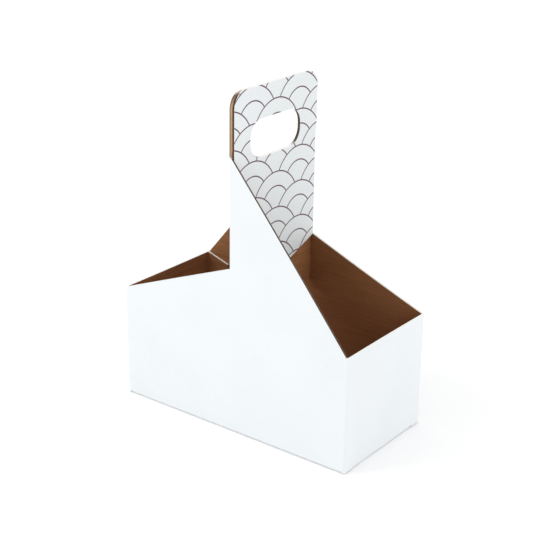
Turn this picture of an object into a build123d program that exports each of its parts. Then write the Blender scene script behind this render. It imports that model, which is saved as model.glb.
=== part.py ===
from build123d import *
from math import acos, atan2, degrees
import os

# Cardboard cup carrier, folded and glued from one die-cut sheet of fine-fluted board.
# Millimetres. X runs along the length, Y from front to back, Z up, and the origin is on
# the ground under the middle. Apart from the glued corner, the carrier is the same after
# half a turn about Z, so each ply and flap is drawn once, on the front or the right.

# Board
BOARD = 2.0
FOLD_INSIDE = 0.3

# Tray
LENGTH = 257.0
WIDTH = 124.0
END_HEIGHT = 112.0

# Long walls: a gentle cut on one half, a steep shoulder on the other
CUT_RISE = 50.0
SHOULDER_RISE = 98.0
SHOULDER_LEVEL = 0.3
SHOULDER_RADIUS = 6.0

# Handle, of two plies glued back to back
HANDLE_RISE = 61.0
HANDLE_RADIUS = 15.0
PLY_SETBACK = 0.6
PLY_CLEARANCE = 0.4

# Hand hole, cut in both plies
HOLE_LENGTH = 74.0
HOLE_HEIGHT = 31.0
HOLE_RADIUS = 12.0
HOLE_DROP = 30.0
HOLE_SHIFT = 0.8

# Self-locking bottom: long flaps that lap over each other, end flaps glued under them
CORNER_RELIEF = 4.0
LANDING = 4.0
STEP_RUN = 8.0
STEP_RADIUS = 10.0
SEAM_GAP = 1.0
NOTCH_WIDTH = 3.0
TONGUE_REACH = 20.0
TONGUE_RADIUS = 8.0
END_FLAP_DEPTH = 56.0
END_FLAP_GAP = 1.0
END_FLAP_TAPER = 34.0
END_FLAP_RADIUS = 6.0

# Glue lap inside the back wall
LAP_LENGTH = 26.0
LAP_TAPER = 8.0
LAP_SETBACK = 0.8

# Worked out from the sizes above
FOLD_OUTSIDE = FOLD_INSIDE + BOARD
RIGHT = LENGTH / 2
BACK = WIDTH / 2
CUT_HEIGHT = END_HEIGHT + CUT_RISE
SHOULDER_HEIGHT = CUT_HEIGHT + SHOULDER_RISE
HANDLE_HEIGHT = SHOULDER_HEIGHT + HANDLE_RISE
CUT_SLOPE = CUT_RISE / (RIGHT - BOARD)
GROUND_LAYER, SECOND_LAYER, THIRD_LAYER = (BOARD * (layer + 1 / 2) for layer in range(3))


def fold(length):
    """A quarter turn of creased board about the Z axis, on the -X -Y side of it."""
    ring = Circle(FOLD_OUTSIDE) - Circle(FOLD_INSIDE)
    quarter = Rectangle(FOLD_OUTSIDE, FOLD_OUTSIDE, align=(Align.MAX, Align.MAX))
    return extrude(ring & quarter, length)


def block(low, high):
    """A rectangle between two corners."""
    size_x, size_y = high[0] - low[0], high[1] - low[1]
    return Pos(*low) * Rectangle(size_x, size_y, align=(Align.MIN, Align.MIN))


def both_halves(shape):
    """A shape with its copy, turned half round about Z."""
    return shape + Rot(0, 0, 180) * shape


def tube_section():
    """Plan of the four walls, with the glued corner at the back on the left."""
    inside = RectangleRounded(LENGTH - 2 * BOARD, WIDTH - 2 * BOARD, FOLD_INSIDE)
    tube = RectangleRounded(LENGTH, WIDTH, FOLD_OUTSIDE) - inside

    # The left wall folds one board further in here, and the back wall ends over it.
    turn_x = -RIGHT + FOLD_OUTSIDE
    turn_y = BACK - BOARD - FOLD_OUTSIDE
    tube -= block((-RIGHT, turn_y), (turn_x, BACK))
    ring = Circle(FOLD_OUTSIDE) - Circle(FOLD_INSIDE)
    turn = ring & Rectangle(FOLD_OUTSIDE, FOLD_OUTSIDE, align=(Align.MAX, Align.MIN))
    tube += Pos(turn_x, turn_y) * turn
    return tube + block((-RIGHT + LAP_SETBACK, BACK - BOARD), (turn_x, BACK))


def front_outline():
    """The front wall seen from the front, which also gives the end walls their height."""
    # The steep cut runs from the right fold up to the shoulder's rounding, and touches it.
    steep_foot = Vector(RIGHT - FOLD_OUTSIDE, END_HEIGHT)
    middle = Vector(FOLD_INSIDE + SHOULDER_LEVEL, SHOULDER_HEIGHT - SHOULDER_RADIUS)
    slant = steep_foot - middle
    touch = degrees(atan2(slant.Y, slant.X) + acos(SHOULDER_RADIUS / slant.length))
    rounding = CenterArc(middle, SHOULDER_RADIUS, touch, 90 - touch)

    rest = Polyline(
        rounding @ 1,
        (FOLD_INSIDE, SHOULDER_HEIGHT),
        (FOLD_INSIDE, CUT_HEIGHT),
        (FOLD_OUTSIDE - RIGHT, END_HEIGHT),
        (-RIGHT, END_HEIGHT),
        (-RIGHT, FOLD_OUTSIDE),
        (RIGHT, FOLD_OUTSIDE),
        (RIGHT, END_HEIGHT),
        steep_foot,
        rounding @ 0,
    )
    return make_face([rounding, rest])


def walls():
    """The tube of four walls, cut along its top."""
    tube = extrude(tube_section(), SHOULDER_HEIGHT)
    return tube & both_halves(extrude(Plane.XZ * front_outline(), BACK))


def handle_ply():
    """The ply that folds in at the middle of the front wall, with its fold."""

    def lower_edge(y):
        """Height of the cut that freed the ply, at a distance behind its fold."""
        return CUT_HEIGHT - CUT_SLOPE * (y + BACK)

    folded_edge = -BACK + FOLD_OUTSIDE
    cut_edge = -BACK + PLY_SETBACK
    free_edge = BACK - BOARD - PLY_CLEARANCE
    outline = make_face(
        Polyline(
            (folded_edge, lower_edge(folded_edge)),
            (folded_edge, SHOULDER_HEIGHT),
            (cut_edge, SHOULDER_HEIGHT),
            (cut_edge, HANDLE_HEIGHT),
            (free_edge, HANDLE_HEIGHT),
            (free_edge, lower_edge(free_edge)),
            close=True,
        )
    )
    outline = fillet(outline.vertices().group_by(Axis.Y)[-1], HANDLE_RADIUS)
    hole_middle = HANDLE_HEIGHT - HOLE_DROP - HOLE_HEIGHT / 2
    hole = Pos(HOLE_SHIFT, hole_middle) * RectangleRounded(HOLE_LENGTH, HOLE_HEIGHT, HOLE_RADIUS)
    ply = extrude(Plane.YZ * (outline - hole), -BOARD)
    return ply + Pos(FOLD_INSIDE, folded_edge, CUT_HEIGHT) * fold(SHOULDER_RISE)


def bottom_profile(*ends):
    """Section of a long bottom flap, from its fold over a step to the given points."""
    path = FilletPolyline(
        (-BACK + FOLD_OUTSIDE, GROUND_LAYER),
        (-BACK + LANDING, GROUND_LAYER),
        (-BACK + LANDING + STEP_RUN, SECOND_LAYER),
        *ends,
        radius=STEP_RADIUS,
    )
    return Plane.YZ * trace(path, BOARD)


def bottom_flap():
    """The front wall's bottom flap: short on the right, and a tongue on the left."""
    reach = RIGHT - CORNER_RELIEF
    short = bottom_profile((-SEAM_GAP / 2, SECOND_LAYER))
    long = bottom_profile(
        (-SEAM_GAP - STEP_RUN, SECOND_LAYER),
        (-SEAM_GAP, THIRD_LAYER),
        (TONGUE_REACH, THIRD_LAYER),
    )
    plain = Pos(-NOTCH_WIDTH / 2, 0, 0) * extrude(short, reach + NOTCH_WIDTH / 2)
    tongue = Pos(-reach, 0, 0) * extrude(long, reach - NOTCH_WIDTH / 2)
    corners = tongue.edges().filter_by(Axis.Z).group_by(Axis.Y)[-1]
    tongue = fillet(corners, TONGUE_RADIUS)
    hinge = Plane(
        origin=(-reach, -BACK + FOLD_OUTSIDE, FOLD_OUTSIDE), x_dir=(0, 1, 0), z_dir=(1, 0, 0)
    )
    return plain + tongue + hinge * fold(2 * reach)


def end_flap():
    """The right wall's bottom flap: its glued side is at the front, its free side tapers."""
    root = RIGHT - FOLD_OUTSIDE
    tip = RIGHT - END_FLAP_DEPTH
    side = BACK - LANDING - STEP_RUN - END_FLAP_GAP
    outline = make_face(
        Polyline((root, -side), (root, side), (tip, side - END_FLAP_TAPER), (tip, -side), close=True)
    )
    outline = fillet(outline.vertices().group_by(Axis.X)[0], END_FLAP_RADIUS)
    hinge = Plane(origin=(root, -side, FOLD_OUTSIDE), x_dir=(-1, 0, 0), z_dir=(0, 1, 0))
    return extrude(outline, BOARD) + hinge * fold(2 * side)


def glue_lap():
    """The left wall's lap, against the inside of the back wall."""
    root = -RIGHT + FOLD_OUTSIDE
    outline = make_face(
        Polyline(
            (root, FOLD_OUTSIDE),
            (root, END_HEIGHT),
            (root + LAP_LENGTH, END_HEIGHT - LAP_TAPER),
            (root + LAP_LENGTH, FOLD_OUTSIDE + LAP_TAPER),
            close=True,
        )
    )
    return extrude(Plane.XZ.offset(BOARD - BACK) * outline, BOARD)


carrier = walls() + both_halves(handle_ply() + bottom_flap() + end_flap()) + glue_lap()

os.makedirs("parts", exist_ok=True)
export_step(carrier, "parts/carrier.step")
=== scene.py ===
"""Looks of the cup carrier: one die-cut sheet of fluted board, folded, glued and printed.

The sheet is modelled as it is made. Its printed side is laid out as one surface of flat
panels joined by bent strips, it then gets the board's thickness, and every cut edge gets
the two liners and the wave of the fluted paper between them. Metres, +Z up.
"""

import logging
import math
from dataclasses import dataclass
from enum import IntEnum
from typing import Callable, Iterable, Sequence

import bmesh
import bpy
from mathutils import Matrix, Vector
from mathutils.kdtree import KDTree


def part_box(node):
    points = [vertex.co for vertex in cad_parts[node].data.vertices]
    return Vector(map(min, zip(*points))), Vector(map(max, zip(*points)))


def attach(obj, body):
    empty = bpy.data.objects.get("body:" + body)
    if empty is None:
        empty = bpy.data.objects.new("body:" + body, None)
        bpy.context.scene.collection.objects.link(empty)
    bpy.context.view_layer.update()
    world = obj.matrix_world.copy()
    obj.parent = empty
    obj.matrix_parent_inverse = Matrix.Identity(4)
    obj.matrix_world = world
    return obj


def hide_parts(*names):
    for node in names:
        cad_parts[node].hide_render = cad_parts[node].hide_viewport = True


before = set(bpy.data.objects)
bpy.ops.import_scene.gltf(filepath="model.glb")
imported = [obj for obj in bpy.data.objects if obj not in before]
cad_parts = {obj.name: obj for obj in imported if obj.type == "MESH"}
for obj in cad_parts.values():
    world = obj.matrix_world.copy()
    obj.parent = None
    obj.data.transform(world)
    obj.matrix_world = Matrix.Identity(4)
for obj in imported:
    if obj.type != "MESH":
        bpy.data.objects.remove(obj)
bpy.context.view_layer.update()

LOG = logging.getLogger("carrier")
MM = 0.001
FLUTE_PITCH = 4.85 * MM

Point = tuple[float, float]
Point3 = tuple[float, float, float]
Colour = tuple[float, float, float, float]
Span = tuple[float, float]
Turn = Callable[[Vector], Vector]

# Sockets that share their name with others of their node are picked by number.
OBJECT_PLACE = 3
ATTRIBUTE_NUMBER = 2
MIX_SHARE, MIX_FIRST, MIX_SECOND, MIXED = 0, 6, 7, 2


class Side(IntEnum):
    """The faces of the board, in the order of the piece's material slots."""

    PLAIN = 0
    PRINTED = 1
    KRAFT = 2
    CUT = 3


class Panel(IntEnum):
    """The kinds of panel, which differ in the way that their flutes run."""

    WALL = 0
    FRONT_FLAP = 1
    BACK_FLAP = 2
    END_FLAP = 3
    LAP = 4


def smooth_step(share: float) -> float:
    """A smooth rise from 0 to 1.

    Args:
        share: How far along the rise.

    Returns:
        The height there, 0 before the rise and 1 after it.
    """
    share = min(max(share, 0.0), 1.0)
    return share * share * (3 - 2 * share)


@dataclass(frozen=True)
class Board:
    """The fluted board.

    It is a hair thinner than the board in the solid model, which leaves a glue line
    where two layers lie face to face.
    """

    layer: float = 2.0 * MM
    glue_line: float = 0.05 * MM
    liner: float = 0.24 * MM
    medium: float = 0.2 * MM
    medium_clearance: float = 0.01 * MM
    flute_pitch: float = FLUTE_PITCH
    fold_inside: float = 0.3 * MM
    hollow_depth: float = 1.3 * MM
    hollow_wall: float = 0.05 * MM
    full_hollow: float = 0.2 * MM
    least_open: float = 0.12
    opens_from: float = 0.2
    opens_over: float = 0.5
    crushed_loss: float = 0.5

    @property
    def thickness(self) -> float:
        """Distance between the outsides of the two liners."""
        return self.layer - self.glue_line

    @property
    def fold_outside(self) -> float:
        """Radius of a fold on the printed side."""
        return self.fold_inside + self.layer

    def medium_middle(self, flute: float) -> float:
        """Depth of the fluted paper's middle below the printed side.

        Args:
            flute: Distance across the flutes, from the sheet's bottom folds.

        Returns:
            The depth, between the two liners.
        """
        swing = (self.thickness - self.medium) / 2 - self.liner - self.medium_clearance
        return self.thickness / 2 + swing * math.cos(2 * math.pi * flute / self.flute_pitch)

    def open_share(self, across: float, crushed: float) -> float:
        """How open the flutes are in a cut edge.

        Args:
            across: 0 for a cut along the flutes, 1 for one straight across them.
            crushed: 1 for a cut along a crease, which crushes the board, and 0 elsewhere.

        Returns:
            The share.
        """
        opened = smooth_step((across - self.opens_from) / self.opens_over)
        return (opened + self.least_open * (1 - opened)) * (1 - self.crushed_loss * crushed)

    def edge_rows(self, flute: float) -> list[tuple[float, float]]:
        """The section of a cut edge, from the printed side to the kraft side.

        Args:
            flute: Distance across the flutes, from the sheet's bottom folds.

        Returns:
            For each row of points between the two sides, its depth below the printed
            side and the share of the full hollow that it lies back by.
        """
        middle = self.medium_middle(flute)
        rows = []
        near = (self.liner, middle - self.medium / 2)
        far = (middle + self.medium / 2, self.thickness - self.liner)
        for start, end in (near, far):
            gap = end - start
            step = min(self.hollow_wall, gap / 3)
            hollow = min(1.0, gap / self.full_hollow)
            rows += [(start, 0.0), (start + step, hollow), (end - step, hollow), (end, 0.0)]
        return rows


@dataclass(frozen=True)
class Sizes:
    """The carrier's main sizes, with its length, width and height read from the frame."""

    length: float
    width: float
    handle_top: float
    end_height: float = 112.0 * MM
    cut_height: float = 162.0 * MM
    shoulder_height: float = 263.8 * MM
    corner_relief: float = 4.0 * MM
    corner_low: float = 0.6 * MM
    slit: float = 0.25 * MM
    end_flap_side: float = 49.0 * MM

    @classmethod
    def of_frame(cls) -> "Sizes":
        """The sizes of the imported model's one node."""
        low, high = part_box("carrier")
        return cls(length=high.x - low.x, width=high.y - low.y, handle_top=high.z)

    @property
    def right(self) -> float:
        """Half the length."""
        return self.length / 2

    @property
    def back(self) -> float:
        """Half the width."""
        return self.width / 2


def half_turn(point: Vector) -> Vector:
    """The point turned half round about the upright axis."""
    return Vector((-point.x, -point.y, point.z))


def add_object(name: str, data: bpy.types.ID) -> bpy.types.Object:
    """Adds an object to the scene.

    Args:
        name: Its name.
        data: Its mesh, light or camera.

    Returns:
        The object, at the origin.
    """
    made = bpy.data.objects.new(name, data)
    bpy.context.scene.collection.objects.link(made)
    return made


@dataclass
class Skin:
    """The printed side of the sheet, as one open surface of panels and folds."""

    fold_steps: int = 8
    rounding_steps: int = 10
    same_place: float = 0.002 * MM

    def __post_init__(self) -> None:
        """Starts an empty surface, with what each face and point keeps note of."""
        self.mesh = bmesh.new()
        self.side = self.mesh.faces.layers.int.new("side")
        self.panel_kind = self.mesh.faces.layers.int.new("panel_kind")
        self.crease = self.mesh.verts.layers.float.new("crease")

    def panel(
        self,
        corners: Sequence[Point],
        place: Callable[[float, float], Vector],
        side: Side = Side.PLAIN,
        kind: Panel = Panel.WALL,
        rounded: dict[int, float] | None = None,
    ) -> None:
        """Adds a flat panel.

        Args:
            corners: Its corners in its own plane, in order.
            place: Gives the place in the carrier of a point in that plane.
            side: What its outside is finished with.
            kind: The kind of panel.
            rounded: Radius of each rounded corner, by its number.
        """
        own = bmesh.new()
        vertices = [own.verts.new((a, b, 0)) for a, b in corners]
        own.faces.new(vertices)
        for number, radius in (rounded or {}).items():
            self._round(own, vertices[number], radius)
        copies = {v: self.mesh.verts.new(place(v.co.x, v.co.y)) for v in own.verts}
        for face in own.faces:
            copy = self.mesh.faces.new([copies[v] for v in face.verts])
            copy[self.side], copy[self.panel_kind] = side, kind
        own.free()

    def _round(self, own: bmesh.types.BMesh, vertex: bmesh.types.BMVert, radius: float) -> None:
        """Rounds one corner of a flat panel.

        Args:
            own: The panel's mesh.
            vertex: The corner.
            radius: The radius of its rounding.
        """
        sides = [edge.other_vert(vertex).co - vertex.co for edge in vertex.link_edges]
        tangent = radius / math.tan(sides[0].angle(sides[1]) / 2)
        bmesh.ops.bevel(
            own, geom=[vertex], offset=tangent, offset_type="OFFSET", affect="VERTICES",
            segments=self.rounding_steps, profile=0.5, material=-1,
        )

    def fold(
        self,
        axis: Vector,
        out: Vector,
        along: Vector,
        turn: Turn = Vector.copy,
        kind: Panel = Panel.WALL,
        angle: float = -90.0,
    ) -> None:
        """Adds a bent strip that starts at a panel's edge.

        Args:
            axis: A point on the fold's axis.
            out: The way from there to one end of the panel's edge.
            along: The way from that end to the other.
            turn: Gives the place in the carrier of each of these points.
            kind: The kind of panel that the fold leads to.
            angle: How far it bends in degrees, right-handed about the way along.
        """
        start, end = turn(axis + out), turn(axis + out + along)
        vertices = [self.mesh.verts.new(start), self.mesh.verts.new(end)]
        edge = self.mesh.edges.new(vertices)
        before = set(self.mesh.faces)
        bmesh.ops.spin(
            self.mesh, geom=[*vertices, edge], cent=turn(axis), axis=(end - start).normalized(),
            angle=math.radians(angle), steps=self.fold_steps, use_duplicate=False,
        )
        for face in set(self.mesh.faces) - before:
            face[self.side], face[self.panel_kind] = Side.PLAIN, kind
            for vertex in face.verts:
                vertex[self.crease] = 1.0

    def join(self) -> None:
        """Joins panels and folds into one surface whose faces all point outwards."""
        bmesh.ops.remove_doubles(self.mesh, verts=self.mesh.verts[:], dist=self.same_place)
        bmesh.ops.recalc_face_normals(self.mesh, faces=self.mesh.faces[:])
        self.mesh.normal_update()
        lowest = min(self.mesh.faces, key=lambda face: face.calc_center_median().z)
        if lowest.normal.z > 0:
            bmesh.ops.reverse_faces(self.mesh, faces=self.mesh.faces[:])

    def slice(
        self, axis: int, places: Iterable[float], kinds: Sequence[Panel] = tuple(Panel)
    ) -> None:
        """Cuts panels across at each place on an axis, and leaves the surface whole.

        Args:
            axis: 0, 1 or 2 for X, Y or Z.
            places: Where on that axis.
            kinds: The kinds of panel to cut.
        """
        normal = Vector.Fill(3, 0.0)
        normal[axis] = 1.0
        for place in places:
            faces = [face for face in self.mesh.faces if face[self.panel_kind] in kinds]
            edges = dict.fromkeys(edge for face in faces for edge in face.edges)
            vertices = dict.fromkeys(vertex for face in faces for vertex in face.verts)
            bmesh.ops.bisect_plane(
                self.mesh, geom=[*vertices, *edges, *faces], dist=self.same_place,
                plane_co=normal * place, plane_no=normal,
            )


@dataclass
class Part:
    """Some of the sheet's panels and folds, which build() adds to the skin."""

    sizes: Sizes
    board: Board
    skin: Skin


@dataclass
class Walls(Part):
    """The tray's four walls, with a fold at three corners and glue at the fourth."""

    lap_setback: float = 0.8 * MM
    lap_start: float = 1.5 * MM
    lap_length: float = 26.0 * MM
    lap_taper: float = 8.0 * MM

    def build(self) -> None:
        """Adds the walls, their corners and the glue lap."""
        self._long_walls()
        self._end_walls()
        self._corners()
        self._lap()

    def _long_walls(self) -> None:
        """Adds the front wall and the back wall, which is the front turned half round."""
        size, bend = self.sizes, self.board.fold_outside
        foot, reach = size.corner_low, size.right - size.corner_relief
        end, heel = size.right - bend, reach + size.slit
        outline = [
            (-end, foot), (-heel, foot), (-heel, bend), (-reach, bend),
            (reach, bend), (heel, bend), (heel, foot), (end, foot), (end, size.end_height),
            (self.board.fold_inside, size.shoulder_height),
            (self.board.fold_inside, size.cut_height), (-end, size.end_height),
        ]
        self.skin.panel(outline, lambda x, z: Vector((x, -size.back, z)))
        tail = -size.right + self.lap_setback
        turned = [(-x, z) for x, z in outline]
        turned[7:9] = [(tail, foot), (tail, size.end_height), (-end, size.end_height)]
        self.skin.panel(turned, lambda x, z: Vector((x, size.back, z)))

    def _end_walls(self) -> None:
        """Adds the two low end walls."""
        size, bend = self.sizes, self.board.fold_outside
        foot, high, side = size.corner_low, size.end_height, size.end_flap_side
        heel, front = side + size.slit, bend - size.back
        for x, back in ((size.right, -front), (-size.right, -front - self.board.layer)):
            outline = [
                (front, foot), (-heel, foot), (-heel, bend), (-side, bend), (side, bend),
                (heel, bend), (heel, foot), (back, foot), (back, high), (front, high),
            ]
            self.skin.panel(outline, lambda y, z, x=x: Vector((x, y, z)))

    def _corners(self) -> None:
        """Adds the three folded corners between the walls."""
        size, bend = self.sizes, self.board.fold_outside
        for x_sign, y_sign in ((-1, -1), (1, -1), (1, 1)):
            corner = (x_sign * (size.right - bend), y_sign * (size.back - bend), size.corner_low)
            out = Vector((0, y_sign * bend, 0))
            up = Vector((0, 0, size.end_height - size.corner_low))
            self.skin.fold(Vector(corner), out, up, angle=-90.0 * x_sign * y_sign)

    def _lap(self) -> None:
        """Adds the glue lap, which the left wall holds against the inside of the back wall."""
        size, bend = self.sizes, self.board.fold_outside
        face = size.back - self.board.layer
        axis = Vector((-size.right + bend, face - bend, size.corner_low))
        up = Vector((0, 0, size.end_height - size.corner_low))
        self.skin.fold(axis, Vector((-bend, 0, 0)), up)
        far = axis.x + self.lap_length
        outline = [
            (axis.x, size.corner_low), (axis.x + self.lap_start, bend),
            (far, bend + self.lap_taper), (far, size.end_height - self.lap_taper),
            (axis.x, size.end_height),
        ]
        self.skin.panel(outline, lambda x, z: Vector((x, face, z)), kind=Panel.LAP)


@dataclass
class Handle(Part):
    """The handle's two plies, each folded in from the middle of a long wall."""

    top_radius: float = 15.0 * MM
    setback: float = 0.6 * MM
    clearance: float = 0.4 * MM
    kerf: float = 0.25 * MM
    hole_length: float = 73.0 * MM
    hole_height: float = 35.0 * MM
    hole_radius: float = 15.5 * MM
    hole_drop: float = 30.0 * MM
    hole_shift: float = 0.8 * MM

    def build(self) -> None:
        """Adds both plies and their folds."""
        for turn in (Vector.copy, half_turn):
            self._ply(turn)

    def _lower_edge(self, y: float) -> float:
        """Height of the cut that freed the ply.

        Args:
            y: A distance from the carrier's middle, from front to back.

        Returns:
            The height there.
        """
        size = self.sizes
        slope = (size.cut_height - size.end_height) / (size.right - self.board.layer)
        return size.cut_height - slope * (y + size.back)

    def _ply(self, turn: Turn) -> None:
        """Adds one ply, in two panels that meet at the level of the hand hole's middle.

        Args:
            turn: Gives the place of a point on the front, or of its copy on the back.
        """
        size, bend = self.sizes, self.board.fold_outside
        folded, cut = -size.back + bend, -size.back + self.setback
        free = size.back - self.board.layer - self.clearance
        middle = size.handle_top - self.hole_drop - self.hole_height / 2
        near, far = (self.hole_shift + sign * self.hole_length / 2 for sign in (-1, 1))
        low, high = (middle + sign * self.hole_height / 2 for sign in (-1, 1))

        lower = [
            (folded, self._lower_edge(folded)), (free, self._lower_edge(free)),
            (free, middle), (far, middle), (far, low), (near, low), (near, middle),
            (cut, middle), (cut, size.shoulder_height + self.kerf),
            (folded, size.shoulder_height), (folded, size.cut_height),
        ]
        upper = [
            (cut, middle), (near, middle), (near, high), (far, high), (far, middle),
            (free, middle), (free, size.handle_top), (cut, size.handle_top),
        ]
        hole, top = self.hole_radius, self.top_radius
        for outline, rounded in (
            (lower, {4: hole, 5: hole}),
            (upper, {2: hole, 3: hole, 6: top, 7: top}),
        ):
            self.skin.panel(
                outline, lambda y, z: turn(Vector((-self.board.layer, y, z))), Side.PRINTED,
                rounded=rounded,
            )
        axis = Vector((self.board.fold_inside, folded, size.cut_height))
        up = Vector((0, 0, size.shoulder_height - size.cut_height))
        self.skin.fold(axis, Vector((0, -bend, 0)), up, turn)


@dataclass
class Bottom(Part):
    """The self-locking bottom: two long flaps that lap over each other, and two end flaps."""

    landing: float = 4.0 * MM
    step_run: float = 8.0 * MM
    seam_gap: float = 1.0 * MM
    slit_middle: float = -1.6 * MM
    slit_width: float = 0.3 * MM
    tongue_reach: float = 20.0 * MM
    tongue_radius: float = 8.0 * MM
    end_flap_depth: float = 56.0 * MM
    end_flap_taper: float = 34.0 * MM
    end_flap_radius: float = 6.0 * MM
    bend_steps: int = 6

    def build(self) -> None:
        """Adds the four flaps and their folds."""
        for kind, turn in ((Panel.FRONT_FLAP, Vector.copy), (Panel.BACK_FLAP, half_turn)):
            self._long_flap(kind, turn)
            self._end_flap(turn)

    def _bends(self) -> list[float]:
        """Where the long flaps bend.

        Returns:
            Distances from the carrier's middle, from front to back.
        """
        outer, inner = self.sizes.back - self.landing, self.seam_gap
        steps = [k / self.bend_steps for k in range(self.bend_steps + 1)]
        first = [outer - self.step_run * k for k in steps]
        second = [inner + self.step_run * k for k in steps]
        return [sign * place for place in first + second for sign in (-1, 1)]

    def _rise(self, y: float, tongue: bool) -> float:
        """Height of the front flap's underside.

        Args:
            y: A distance from the carrier's middle, from front to back.
            tongue: Whether it is in the tongue, which also climbs over the other flap.

        Returns:
            The height there.
        """
        layer = self.board.layer
        height = layer * smooth_step((y + self.sizes.back - self.landing) / self.step_run)
        if tongue:
            height += layer * smooth_step((y + self.seam_gap + self.step_run) / self.step_run)
        return height

    def _long_flap(self, kind: Panel, turn: Turn) -> None:
        """Adds the flap of a long wall: short on one half, a tongue on the other.

        Args:
            kind: Which of the two long flaps it is.
            turn: Gives the place of a point on the front, or of its copy on the back.
        """
        size, bend = self.sizes, self.board.fold_outside
        root, reach = -size.back + bend, size.right - size.corner_relief
        seam, step = -self.seam_gap / 2, -self.seam_gap - self.step_run
        short_side = self.slit_middle + self.slit_width / 2
        tongue_side = self.slit_middle - self.slit_width / 2
        outline = [
            (-reach, root), (reach, root), (reach, seam), (short_side, seam),
            (short_side, step), (tongue_side, step),
            (tongue_side, self.tongue_reach), (-reach, self.tongue_reach),
        ]
        rounded = {6: self.tongue_radius, 7: self.tongue_radius}
        self.skin.panel(outline, lambda x, y: turn(Vector((x, y, 0))), kind=kind, rounded=rounded)
        axis, along = Vector((reach, root, bend)), Vector((-2 * reach, 0, 0))
        self.skin.fold(axis, Vector((0, -bend, 0)), along, turn, kind)

    def raise_flaps(self) -> None:
        """Bends each long flap of the joined skin up over what lies under it."""
        self.skin.slice(1, self._bends(), (Panel.FRONT_FLAP, Panel.BACK_FLAP))
        for kind, sign in ((Panel.FRONT_FLAP, 1), (Panel.BACK_FLAP, -1)):
            faces = [face for face in self.skin.mesh.faces if face[self.skin.panel_kind] == kind]
            for vertex in {vertex for face in faces for vertex in face.verts}:
                x, y = sign * vertex.co.x, sign * vertex.co.y
                if y > self.landing - self.sizes.back:
                    vertex.co.z = self._rise(y, x < self.slit_middle)

    def _end_flap(self, turn: Turn) -> None:
        """Adds the flap of an end wall, which lies on the ground under the long flaps.

        Args:
            turn: Gives the place of a point on the right, or of its copy on the left.
        """
        size, bend, side = self.sizes, self.board.fold_outside, self.sizes.end_flap_side
        root, tip = size.right - bend, size.right - self.end_flap_depth
        outline = [(root, -side), (root, side), (tip, side - self.end_flap_taper), (tip, -side)]
        rounded = {2: self.end_flap_radius, 3: self.end_flap_radius}
        self.skin.panel(
            outline, lambda x, y: turn(Vector((x, y, 0))), kind=Panel.END_FLAP, rounded=rounded,
        )
        axis, along = Vector((root, side, bend)), Vector((0, -2 * side, 0))
        self.skin.fold(axis, Vector((bend, 0, 0)), along, turn, Panel.END_FLAP)


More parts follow.
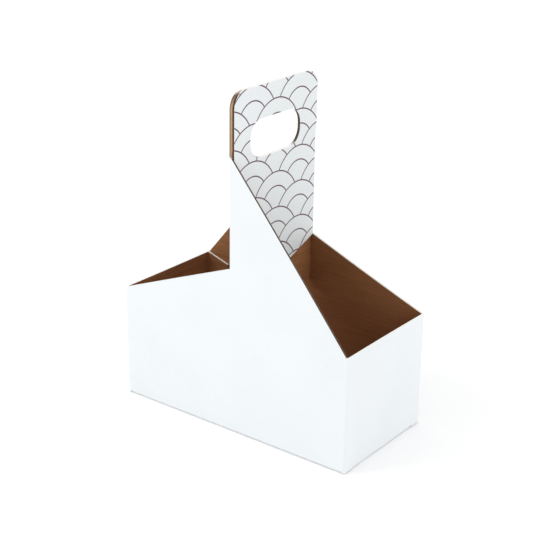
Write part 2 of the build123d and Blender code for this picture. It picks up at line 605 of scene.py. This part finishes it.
@dataclass
class Sheet:
    """The whole sheet, with its thickness and its cut edges."""

    sizes: Sizes
    board: Board
    grid: float = 12.0 * MM
    fold_margin: float = 1.2 * MM
    longest_edge: float = 8.0 * MM
    wave_steps: int = 8
    wall_bow: float = 0.8 * MM
    end_bow: float = 0.4 * MM
    crease_reach: float = 8.0 * MM
    corner_reach: float = 2.5 * MM
    in_plane: float = 0.01 * MM
    shortest_edge: float = 0.001 * MM
    sharp: float = math.radians(32)

    def __post_init__(self) -> None:
        """Lays out the printed side and folds it."""
        self.skin = Skin()
        self.mesh = self.skin.mesh
        shared = (self.sizes, self.board, self.skin)
        bottom = Bottom(*shared)
        for part in (Walls(*shared), Handle(*shared), bottom):
            part.build()
        self.skin.join()
        bottom.raise_flaps()

    def build(self, name: str, materials: Sequence[bpy.types.Material]) -> bpy.types.Object:
        """Makes the finished piece.

        Args:
            name: The piece's name.
            materials: Its materials, in the order of Side.

        Returns:
            The piece, at the origin.
        """
        self._divide_panels()
        self._mark_flutes()
        self._divide_outline()
        self._bow()
        self._mark_corners()
        self._thicken()
        self._cut_edges()
        self._finish_faces()
        data = bpy.data.meshes.new(name)
        self.mesh.to_mesh(data)
        self.mesh.free()
        for material in materials:
            data.materials.append(material)
        data.set_sharp_from_angle(angle=self.sharp)
        return add_object(name, data)

    def _divide_panels(self) -> None:
        """Cuts the panels into a grid, with a line beside each fold that keeps it crisp."""
        size, board = self.sizes, self.board
        margin = board.fold_outside + self.fold_margin
        across = [*self._lines(size.right), size.right - margin]
        across.append(board.fold_inside + self.fold_margin)
        deep = [*self._lines(size.back), size.back - margin]
        self.skin.slice(0, [sign * place for place in across for sign in (-1, 1)])
        self.skin.slice(1, [sign * place for place in deep for sign in (-1, 1)])
        self.skin.slice(2, [*self._lines(size.handle_top + self.grid), margin])

    def _lines(self, reach: float) -> list[float]:
        """Places of the grid's lines, out to a distance from the middle."""
        return [self.grid * (k + 1 / 2) for k in range(int(reach / self.grid))]

    def _mark_flutes(self) -> None:
        """Notes how far across the flutes each point lies, from the bottom folds."""
        mesh, size = self.mesh, self.sizes
        self.flute = mesh.verts.layers.float.new("flute")
        run_in = {
            Panel.FRONT_FLAP: lambda co: size.back + co.y,
            Panel.BACK_FLAP: lambda co: size.back - co.y,
            Panel.END_FLAP: lambda co: size.right - abs(co.x),
        }
        for face in mesh.faces:
            run = run_in.get(face[self.skin.panel_kind], lambda co: 0.0)
            for vertex in face.verts:
                vertex[self.flute] = vertex.co.z - run(vertex.co)

    def _divide_outline(self) -> None:
        """Divides the sheet's outline finely enough for the wave to show in its cut edge."""
        step = self.board.flute_pitch / self.wave_steps
        by_cuts: dict[int, list[bmesh.types.BMEdge]] = {}
        for edge in self._outline():
            first, last = (vertex[self.flute] for vertex in edge.verts)
            parts = max(abs(last - first) / step, edge.calc_length() / self.longest_edge)
            by_cuts.setdefault(math.ceil(parts) - 1, []).append(edge)
        for cuts, edges in by_cuts.items():
            if cuts > 0:
                bmesh.ops.bisect_edges(self.mesh, edges=edges, cuts=cuts)

    def _outline(self) -> list[bmesh.types.BMEdge]:
        """The edges of the open surface."""
        return [edge for edge in self.mesh.edges if edge.is_boundary]

    def _bow(self) -> None:
        """Bows the walls in by a hair, as a folded tray's walls are."""
        size = self.sizes
        for vertex in self.mesh.verts:
            x, y, z = vertex.co
            rise = math.sin(math.pi / 2 * min(z / size.end_height, 1.0))
            in_lap = any(f[self.skin.panel_kind] == Panel.LAP for f in vertex.link_faces)
            if abs(y) > size.back - self.in_plane or in_lap:
                bow = self.wall_bow * rise * abs(math.sin(math.pi * x / size.right))
                vertex.co.y -= math.copysign(bow, y)
            elif abs(x) > size.right - self.in_plane:
                bow = self.end_bow * rise * math.cos(math.pi / 2 * y / size.back)
                vertex.co.x -= math.copysign(bow, x)

    def _mark_corners(self) -> None:
        """Notes how open the flutes are along the outline: shut at its sharp corners."""
        self.open = self.mesh.verts.layers.float.new("open")
        outline = {vertex for edge in self._outline() for vertex in edge.verts}
        corners = [vertex for vertex in outline if self._turn(vertex) > self.sharp]
        tree = KDTree(len(corners))
        for number, vertex in enumerate(corners):
            tree.insert(vertex.co, number)
        tree.balance()
        for vertex in outline:
            vertex[self.open] = smooth_step(tree.find(vertex.co)[2] / self.corner_reach)

    def _turn(self, vertex: bmesh.types.BMVert) -> float:
        """How sharply the outline turns at a point.

        Args:
            vertex: The point.

        Returns:
            The angle, 0 where it runs straight on.
        """
        rim = [edge for edge in vertex.link_edges if edge.is_boundary]
        ways = [edge.other_vert(vertex).co - vertex.co for edge in rim]
        return math.pi - ways[0].angle(ways[1])

    def _thicken(self) -> None:
        """Gives the sheet its thickness, on the kraft side."""
        mesh, side = self.mesh, self.skin.side
        vectors, numbers = mesh.verts.layers.float_vector, mesh.verts.layers.float
        self.base, self.through = vectors.new("base"), vectors.new("through")
        self.depth, self.across = numbers.new("depth"), numbers.new("across")
        self.crushed = numbers.new("crushed")
        mesh.normal_update()
        for edge in self._outline():
            first, last = edge.verts
            rise = abs(first[self.flute] - last[self.flute])
            slope = rise / max(edge.calc_length(), self.shortest_edge)
            for vertex in edge.verts:
                vertex[self.across] += min(slope, 1.0) / 2
        for vertex in mesh.verts:
            vertex[self.base] = vertex.co
            vertex[self.through] = vertex.normal * -self.board.thickness
            vertex[self.crushed] = self._on_crease(vertex.co)
        outside = mesh.faces[:]
        made = bmesh.ops.extrude_face_region(mesh, geom=outside)["geom"]
        for item in made:
            if isinstance(item, bmesh.types.BMVert):
                item.co = item[self.base] + item[self.through]
                item[self.depth] = 1.0
            elif isinstance(item, bmesh.types.BMFace):
                item[side] = Side.KRAFT
        for face in set(mesh.faces) - set(outside) - set(made):
            face[side] = Side.CUT
        bmesh.ops.recalc_face_normals(mesh, faces=mesh.faces[:])

    def _on_crease(self, place: Vector) -> float:
        """How near a point of the handle lies to the crease that its ply was cut along.

        Args:
            place: The point.

        Returns:
            1 on the crease, and 0 away from it and on all other panels.
        """
        x, y, z = place
        if z < self.sizes.shoulder_height or x * y < 0:
            return 0.0
        return smooth_step(1 - (self.sizes.back - abs(y)) / self.crease_reach)

    def _cut_edges(self) -> None:
        """Shapes every cut edge as two liners with the wave of fluted paper between them."""
        mesh, board = self.mesh, self.board
        self.hollow = mesh.verts.layers.float.new("hollow")
        crossing = [e for e in mesh.edges if e.verts[0][self.depth] != e.verts[1][self.depth]]
        rows = len(board.edge_rows(0.0))
        bmesh.ops.subdivide_edges(mesh, edges=crossing, cuts=rows, use_grid_fill=False)
        mesh.normal_update()
        for vertex in mesh.verts:
            row = round(vertex[self.depth] * (rows + 1))
            if not 0 < row <= rows:
                continue
            depth, hollow = board.edge_rows(vertex[self.flute])[row - 1]
            vertex[self.depth] = depth / board.thickness
            opened = vertex[self.open] * board.open_share(vertex[self.across], vertex[self.crushed])
            vertex[self.hollow] = hollow * opened
            back = vertex.normal * (board.hollow_depth * vertex[self.hollow])
            vertex.co = vertex[self.base] + vertex[self.through] * vertex[self.depth] - back

    def _finish_faces(self) -> None:
        """Gives each face its material, and drops what only the building needed."""
        for face in self.mesh.faces:
            face.material_index = face[self.skin.side]
            face.smooth = True
        vectors = self.mesh.verts.layers.float_vector
        for helper in ("base", "through"):
            vectors.remove(vectors[helper])
        bmesh.ops.recalc_face_normals(self.mesh, faces=self.mesh.faces[:])


class Signal:
    """A shader socket that Python's operators work on, by adding Math nodes."""

    def __init__(self, recipe: "Recipe", socket: bpy.types.NodeSocket) -> None:
        """Wraps a socket.

        Args:
            recipe: The material that the socket belongs to.
            socket: An output socket.
        """
        self.recipe, self.socket = recipe, socket

    def math(self, operation: str, *others: "Signal | float") -> "Signal":
        """A Math node's result.

        Args:
            operation: The node's operation.
            others: What follows this signal in its sockets.

        Returns:
            The result.
        """
        values = dict(enumerate((self, *others)))
        return self.recipe.node("ShaderNodeMath", {"operation": operation}, values)[0]

    def __add__(self, other: "Signal | float") -> "Signal":
        """The sum."""
        return self.math("ADD", other)

    __radd__ = __add__

    def __mul__(self, other: "Signal | float") -> "Signal":
        """The product."""
        return self.math("MULTIPLY", other)

    __rmul__ = __mul__

    def __sub__(self, other: "Signal | float") -> "Signal":
        """The difference."""
        return self.math("SUBTRACT", other)

    def __rsub__(self, other: float) -> "Signal":
        """A number less this signal."""
        return self * -1.0 + other

    def __truediv__(self, other: float) -> "Signal":
        """The share of a number."""
        return self * (1.0 / other)

    def __abs__(self) -> "Signal":
        """The size without its sign."""
        return self.math("ABSOLUTE")

    def rise(self, low: float, high: float) -> "Signal":
        """A smooth rise from 0 to 1.

        Args:
            low: The value up to which it is 0.
            high: The value from which it is 1.

        Returns:
            The height of the rise.
        """
        settings = {"interpolation_type": "SMOOTHSTEP"}
        inputs = {"Value": self, "From Min": low, "From Max": high}
        return self.recipe.node("ShaderNodeMapRange", settings, inputs)[0]


class Recipe:
    """One material and the nodes that it is made of."""

    def __init__(self, name: str) -> None:
        """Starts a material with an empty shader.

        Args:
            name: The material's name.
        """
        self.material = bpy.data.materials.new(name)
        self.material.use_nodes = True
        self.tree = self.material.node_tree
        self.shader = next(n for n in self.tree.nodes if n.type == "BSDF_PRINCIPLED")

    def node(
        self,
        kind: str,
        settings: dict[str, object] | None = None,
        inputs: dict[str | int, object] | None = None,
    ) -> list[Signal]:
        """Adds a node.

        Args:
            kind: The node's type.
            settings: Its settings, which are set first.
            inputs: The values or signals of its sockets, by name or number.

        Returns:
            Its outputs, in order.
        """
        node = self.tree.nodes.new(kind)
        for name, value in (settings or {}).items():
            setattr(node, name, value)
        for name, value in (inputs or {}).items():
            self.feed(node.inputs[name], value)
        return [Signal(self, socket) for socket in node.outputs]

    def feed(self, socket: bpy.types.NodeSocket, value: object) -> None:
        """Gives a socket its value or links it.

        Args:
            socket: An input socket.
            value: A signal, a number, or a colour or vector.
        """
        if isinstance(value, Signal):
            self.tree.links.new(value.socket, socket)
        else:
            socket.default_value = value

    def dress(self, inputs: dict[str, object]) -> bpy.types.Material:
        """Feeds the shader.

        Args:
            inputs: The values or signals of the shader's sockets.

        Returns:
            The finished material.
        """
        for name, value in inputs.items():
            self.feed(self.shader.inputs[name], value)
        return self.material

    def place(self) -> Signal:
        """The place on the piece, in metres."""
        return self.node("ShaderNodeTexCoord")[OBJECT_PLACE]

    def noise(self, size: float, detail: float = 2.0, stretch: Point3 = (1.0, 1.0, 1.0)) -> Signal:
        """Soft noise from 0 to 1.

        Args:
            size: About how large its spots are, in metres.
            detail: How many finer layers it has.
            stretch: What each axis is multiplied by.

        Returns:
            The noise.
        """
        inputs = {"Vector": self.place(), "Scale": stretch}
        place = self.node("ShaderNodeMapping", {}, inputs)[0]
        inputs = {"Vector": place, "Scale": 1.0 / size, "Detail": detail}
        return self.node("ShaderNodeTexNoise", {}, inputs)[0]

    def kept(self, name: str) -> Signal:
        """A number that the mesh keeps for each point.

        Args:
            name: The attribute's name.

        Returns:
            The number.
        """
        return self.node("ShaderNodeAttribute", {"attribute_name": name})[ATTRIBUTE_NUMBER]

    def flute_wave(self) -> Signal:
        """The wave of the flutes under the surface, from -1 to 1."""
        return (self.kept("flute") * (2 * math.pi / FLUTE_PITCH)).math("COSINE")

    def uneven(self, middle: float, spread: float, size: float, detail: float = 2.0) -> Signal:
        """A number that varies softly over the surface.

        Args:
            middle: Its mean.
            spread: How far apart its lowest and highest values lie.
            size: About how large its spots are, in metres.
            detail: How many finer layers they have.

        Returns:
            The number.
        """
        return self.noise(size, detail) * spread + (middle - spread / 2)

    def mix(self, share: "Signal | float", first: object, second: object) -> Signal:
        """A mix of two colours.

        Args:
            share: The share of the second colour.
            first: A colour or a signal.
            second: A colour or a signal.

        Returns:
            The mixed colour.
        """
        inputs = {MIX_SHARE: share, MIX_FIRST: first, MIX_SECOND: second}
        return self.node("ShaderNodeMix", {"data_type": "RGBA"}, inputs)[MIXED]

    def bump(self, height: Signal, distance: float, strength: float = 1.0) -> Signal:
        """The normal of a surface with small relief.

        Args:
            height: The relief, from 0 to 1.
            distance: How high 1 is, in metres.
            strength: The share of the relief that shows.

        Returns:
            The normal.
        """
        inputs = {"Height": height, "Distance": distance, "Strength": strength}
        return self.node("ShaderNodeBump", {}, inputs)[0]


@dataclass(frozen=True)
class Spots:
    """Soft spots, as a mask for a second colour."""

    size: float
    low: float
    high: float
    share: float
    detail: float = 2.0
    stretch: Point3 = (1.0, 1.0, 1.0)

    def mask(self, recipe: Recipe) -> Signal:
        """How strongly the spots show.

        Args:
            recipe: The material to draw them in.

        Returns:
            The strength, from 0 to the spots' share.
        """
        noise = recipe.noise(self.size, self.detail, self.stretch)
        return noise.rise(self.low, self.high) * self.share


@dataclass(frozen=True)
class WhiteLiner:
    """Smooth white-coated liner, with the faintest washboard from the flutes under it."""

    colour: Colour = (0.80, 0.835, 0.855, 1.0)
    shaded: Colour = (0.765, 0.80, 0.822, 1.0)
    printed: Colour = (0.745, 0.783, 0.795, 1.0)
    folded: Colour = (0.72, 0.725, 0.72, 1.0)
    ink: Colour = (0.10, 0.033, 0.057, 1.0)
    clouds: Spots = Spots(60 * MM, 0.35, 0.75, share=0.5, detail=3.0)
    cracks: Spots = Spots(1.2 * MM, 0.5, 0.72, share=0.45, detail=4.0)
    fold_share: float = 0.12
    grain_size: float = 0.5 * MM
    grain_height: float = 0.3
    fibre_size: float = 1.6 * MM
    fibre_stretch: Point3 = (0.35, 1.0, 1.0)
    fibre_height: float = 0.3
    wave_height: float = 0.25
    relief: float = 0.05 * MM
    relief_share: float = 0.55
    roughness: float = 0.46
    roughness_spread: float = 0.1
    roughness_size: float = 25 * MM
    ink_smoother: float = 0.06
    gloss: float = 0.42

    def make(self, name: str, printed: bool) -> bpy.types.Material:
        """Makes the finish.

        Args:
            name: The material's name.
            printed: Whether it carries the line design.

        Returns:
            The material.
        """
        recipe = Recipe(name)
        clean = self.printed if printed else self.colour
        colour = recipe.mix(self.clouds.mask(recipe), clean, self.shaded)
        fold = recipe.kept("crease") * (self.cracks.mask(recipe) + self.fold_share)
        colour = recipe.mix(fold, colour, self.folded)
        rough = recipe.uneven(self.roughness, self.roughness_spread, self.roughness_size, 3.0)
        if printed:
            ink = FanPrint().cover(recipe)
            colour = recipe.mix(ink, colour, self.ink)
            rough = rough - ink * self.ink_smoother
        relief = recipe.noise(self.grain_size, 3.0) * self.grain_height
        relief += recipe.noise(self.fibre_size, 2.0, self.fibre_stretch) * self.fibre_height
        relief += recipe.flute_wave() * self.wave_height
        return recipe.dress({
            "Base Color": colour, "Roughness": rough, "Specular IOR Level": self.gloss,
            "Normal": recipe.bump(relief, self.relief, self.relief_share),
        })


@dataclass(frozen=True)
class FanPrint:
    """A plain repeat of overlapping fans, each of a few thin arcs, on the handle."""

    radius: float = 34.0 * MM
    arcs: tuple[float, ...] = (1.0, 0.6)
    line: float = 1.2 * MM
    soft: float = 0.12 * MM

    @property
    def row_height(self) -> float:
        """How far each row of fans stands above the last."""
        return self.radius / 2

    def cover(self, recipe: Recipe) -> Signal:
        """How much ink lies at a place, from its depth and height in the carrier.

        Args:
            recipe: The material to draw it in.

        Returns:
            The ink, from 0 to 1.
        """
        _, across, up = recipe.node("ShaderNodeSeparateXYZ", {}, {0: recipe.place()})
        row = (up / self.row_height).math("FLOOR")
        own = self._distance(across, up, row)
        front = self._distance(across, up, row - 1)
        in_front = front.math("LESS_THAN", self.radius)
        distance = own + (front - own) * in_front
        ink = None
        for share in self.arcs:
            aside = abs(distance - (self.radius * share - self.line / 2))
            drawn = 1 - aside.rise(self.line / 2 - self.soft, self.line / 2 + self.soft)
            ink = drawn if ink is None else ink.math("MAXIMUM", drawn)
        return ink

    def _distance(self, across: Signal, up: Signal, row: Signal) -> Signal:
        """Distance to the nearest middle of a row of fans.

        Args:
            across: The place's distance from the carrier's middle, from front to back.
            up: Its height.
            row: The row's number from the ground. Every second row is shifted.

        Returns:
            The distance.
        """
        shift = row.math("MODULO", 2.0) * self.radius
        nearest = ((across - shift) / (2 * self.radius)).math("ROUND") * (2 * self.radius) + shift
        aside, above = across - nearest, up - row * self.row_height
        return (aside * aside + above * above).math("SQRT")


@dataclass(frozen=True)
class KraftLiner:
    """Unbleached kraft liner, with its fibres and the flutes showing through."""

    colour: Colour = (0.345, 0.150, 0.058, 1.0)
    # The darker kraft tone is the kraft's own, deepened in part as painted shade: the shade that
    # drinks standing in the tray would cast.
    dark: Colour = (0.215, 0.085, 0.030, 1.0)
    fibre: Colour = (0.47, 0.24, 0.105, 1.0)
    # The lighter tan drawn on the kraft near the handle's crease edge is painted light, for the lit
    # kraft strip there.
    painted_light_tan: Colour = (0.66, 0.42, 0.22, 1.0)
    clouds: Spots = Spots(35 * MM, 0.3, 0.72, share=0.35, detail=4.0)
    streaks: Spots = Spots(7 * MM, 0.3, 0.7, share=0.42, detail=4.0, stretch=(0.12, 0.12, 1.0))
    hairs: Spots = Spots(0.9 * MM, 0.6, 0.78, share=0.5, detail=5.0, stretch=(0.3, 0.3, 1.0))
    specks: Spots = Spots(1.1 * MM, 0.68, 0.76, share=0.4)
    flute_share: float = 0.2
    crush_and_shade_share: float = 0.55
    grain_size: float = 0.6 * MM
    grain_height: float = 0.3
    hair_height: float = 0.6
    wave_height: float = 0.3
    relief: float = 0.08 * MM
    relief_share: float = 0.7
    roughness: float = 0.82
    roughness_spread: float = 0.1
    roughness_size: float = 12 * MM
    gloss: float = 0.3

    def make(self, name: str) -> bpy.types.Material:
        """Makes the finish.

        Args:
            name: The material's name.

        Returns:
            The material.
        """
        recipe = Recipe(name)
        wave, hairs = recipe.flute_wave(), self.hairs.mask(recipe)
        # Painted shade, in part: clouds, streaks and flute lines are the kraft's own uneven tone,
        # drawn deeper to stand for the shade of drinks in the tray.
        shade = self.clouds.mask(recipe) + self.streaks.mask(recipe)
        shade += (wave + 1.0) * (self.flute_share / 2)
        colour = recipe.mix(shade, self.colour, self.dark)
        # Painted shade, in part: the kraft darkens where it lines the inside of each fold, for the
        # crushed score line and for the shade that falls in that corner.
        colour = recipe.mix(recipe.kept("crease") * self.crush_and_shade_share, colour, self.dark)
        # Painted light: the kraft beside the handle's crushed front edge turns lighter tan, the
        # look of that kraft strip where light falls on it.
        colour = recipe.mix(recipe.kept("crushed"), colour, self.painted_light_tan)
        colour = recipe.mix(hairs, colour, self.fibre)
        colour = recipe.mix(self.specks.mask(recipe), colour, self.dark)
        relief = hairs * self.hair_height + recipe.noise(self.grain_size, 3.0) * self.grain_height
        relief -= wave * self.wave_height
        return recipe.dress({
            "Base Color": colour, "Specular IOR Level": self.gloss,
            "Roughness": recipe.uneven(self.roughness, self.roughness_spread, self.roughness_size),
            "Normal": recipe.bump(relief, self.relief, self.relief_share),
        })


@dataclass(frozen=True)
class CutEdge:
    """The cut through the board: white skin, liners and the hollows in the flutes.

    A cut along the flutes is pale, one across them is dark with their open ends, and one
    along a crease is crushed to a tan edge with small dents. The near-white of a cut along
    the flutes or gently across them is partly painted light, for edges lit from above, and
    the dark of a cut across them is partly painted shade in the open flutes.
    """

    # Painted light, in part: along and gentle are near-white for the glare on upward cut edges,
    # over the paler look of a cut that opens no flutes.
    along: Colour = (0.93, 0.92, 0.90, 1.0)
    gentle: Colour = (0.82, 0.79, 0.74, 1.0)
    # Painted shade, in part: open_end is the fluting paper's brown, darkened for the shade inside
    # the open flutes.
    open_end: Colour = (0.20, 0.145, 0.105, 1.0)
    crushed: Colour = (0.56, 0.42, 0.28, 1.0)
    skin: Colour = (0.78, 0.80, 0.81, 1.0)
    # Painted shade: the near-black hollow colour darkens the flutes' hollows beyond the shade that
    # their depth casts.
    hollow: Colour = (0.075, 0.05, 0.034, 1.0)
    gentle_span: Span = (0.05, 0.4)
    open_span: Span = (0.4, 0.72)
    fuzz_size: float = 0.7 * MM
    stain_span: Span = (0.4, 0.75)
    stain_share: float = 0.1
    stain_more_across: float = 0.25
    hollow_shade_span: Span = (0.25, 0.9)
    hollow_shade_share: float = 0.92
    skin_span: Span = (0.05, 0.09)
    skin_fray: float = 0.03
    relief: float = 0.15 * MM
    relief_share: float = 0.8
    roughness: float = 0.9
    gloss: float = 0.25

    def make(self, name: str) -> bpy.types.Material:
        """Makes the finish.

        Args:
            name: The material's name.

        Returns:
            The material.
        """
        recipe = Recipe(name)
        across, fuzz = recipe.kept("across"), recipe.noise(self.fuzz_size, 4.0)
        # Painted light: the pale along and gentle colours stand for cut edges lit from above.
        colour = recipe.mix(across.rise(*self.gentle_span), self.along, self.gentle)
        # Painted shade, in part: a cut across the flutes darkens toward open_end, for the shade
        # inside their open ends.
        colour = recipe.mix(across.rise(*self.open_span), colour, self.open_end)
        colour = recipe.mix(recipe.kept("crushed") * across, colour, self.crushed)
        stain = fuzz.rise(*self.stain_span) * (across * self.stain_more_across + self.stain_share)
        colour = recipe.mix(stain, colour, self.open_end)
        # Painted shade: the hollows in the cut edge are drawn dark, on top of the shade of their
        # real depth.
        hollow = recipe.kept("hollow").rise(*self.hollow_shade_span) * self.hollow_shade_share
        colour = recipe.mix(hollow, colour, self.hollow)
        skin = 1 - (recipe.kept("depth") + fuzz * self.skin_fray).rise(*self.skin_span)
        colour = recipe.mix(skin, colour, self.skin)
        return recipe.dress({
            "Base Color": colour, "Roughness": self.roughness, "Specular IOR Level": self.gloss,
            "Normal": recipe.bump(fuzz, self.relief, self.relief_share),
        })


@dataclass(frozen=True)
class SoftLight:
    """A square soft light that faces the carrier."""

    name: str
    place: Point3
    size: float
    power: float

    def build(self, target: Vector) -> None:
        """Adds the light.

        Args:
            target: The point that it faces.
        """
        data = bpy.data.lights.new(self.name, "AREA")
        data.shape, data.size, data.energy = "SQUARE", self.size, self.power
        lamp = add_object(self.name, data)
        lamp.location = self.place
        lamp.rotation_euler = (target - Vector(self.place)).to_track_quat("-Z", "Y").to_euler()


@dataclass(frozen=True)
class Viewpoint:
    """Where the carrier is seen from."""

    place: Point3 = (0.6763, -0.8985, 0.5914)
    heading: float = 36.85
    pitch: float = 22.01
    roll: float = 0.90
    lens: float = 85.63
    sensor: float = 36.0

    def build(self) -> None:
        """Adds the camera."""
        data = bpy.data.cameras.new("camera")
        data.lens, data.sensor_width = self.lens, self.sensor
        camera = add_object("camera", data)
        turn = Matrix.Rotation(math.radians(self.heading), 4, "Z")
        tilt = Matrix.Rotation(math.radians(90 - self.pitch), 4, "X")
        roll = Matrix.Rotation(math.radians(self.roll), 4, "Z")
        camera.matrix_world = Matrix.Translation(self.place) @ turn @ tilt @ roll
        bpy.context.scene.camera = camera


@dataclass
class Studio:
    """A plain white floor, a white surround and two soft lights."""

    floor_radius: float = 14.0
    floor_sides: int = 64
    floor_gap: float = 0.2 * MM
    floor_colour: Colour = (0.97, 0.97, 0.97, 1.0)
    floor_roughness: float = 0.9
    floor_gloss: float = 0.1
    lit_point: Point3 = (0.0, 0.0, 0.12)
    surround: float = 1.02
    lights: tuple[SoftLight, ...] = (
        SoftLight("key", (-1.5, -1.5, 2.2), 1.2, 15.0),
        SoftLight("fill", (2.6, -0.3, 1.0), 1.6, 5.0),
    )

    def build(self) -> None:
        """Adds the floor, the surround and the lights."""
        shape = bmesh.new()
        bmesh.ops.create_circle(
            shape, cap_ends=True, segments=self.floor_sides, radius=self.floor_radius
        )
        data = bpy.data.meshes.new("floor")
        shape.to_mesh(data)
        shape.free()
        data.transform(Matrix.Translation((0.0, 0.0, -self.floor_gap)))
        data.materials.append(Recipe("floor_white").dress({
            "Base Color": self.floor_colour, "Roughness": self.floor_roughness,
            "Specular IOR Level": self.floor_gloss,
        }))
        add_object("floor", data)
        world = bpy.data.worlds.new("surround")
        world.use_nodes = True
        backdrop = world.node_tree.nodes["Background"]
        backdrop.inputs["Color"].default_value = (1.0, 1.0, 1.0, 1.0)
        backdrop.inputs["Strength"].default_value = self.surround
        bpy.context.scene.world = world
        bpy.context.scene.view_settings.view_transform = "Standard"
        for light in self.lights:
            light.build(Vector(self.lit_point))


def main() -> None:
    """Builds the carrier, the floor, the lights and the camera."""
    liner = WhiteLiner()
    finishes = {
        Side.PLAIN: liner.make("white_liner", printed=False),
        Side.PRINTED: liner.make("printed_liner", printed=True),
        Side.KRAFT: KraftLiner().make("kraft_liner"),
        Side.CUT: CutEdge().make("cut_edge"),
    }
    sheet = Sheet(Sizes.of_frame(), Board())
    piece = sheet.build("carrier_board", [finishes[side] for side in Side])
    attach(piece, "root")
    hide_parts("carrier")
    LOG.info("%s: %d faces", piece.name, len(piece.data.polygons))
    Studio().build()
    Viewpoint().build()


if __name__ == "__main__":
    logging.basicConfig(level=logging.INFO, format="%(message)s")
    main()
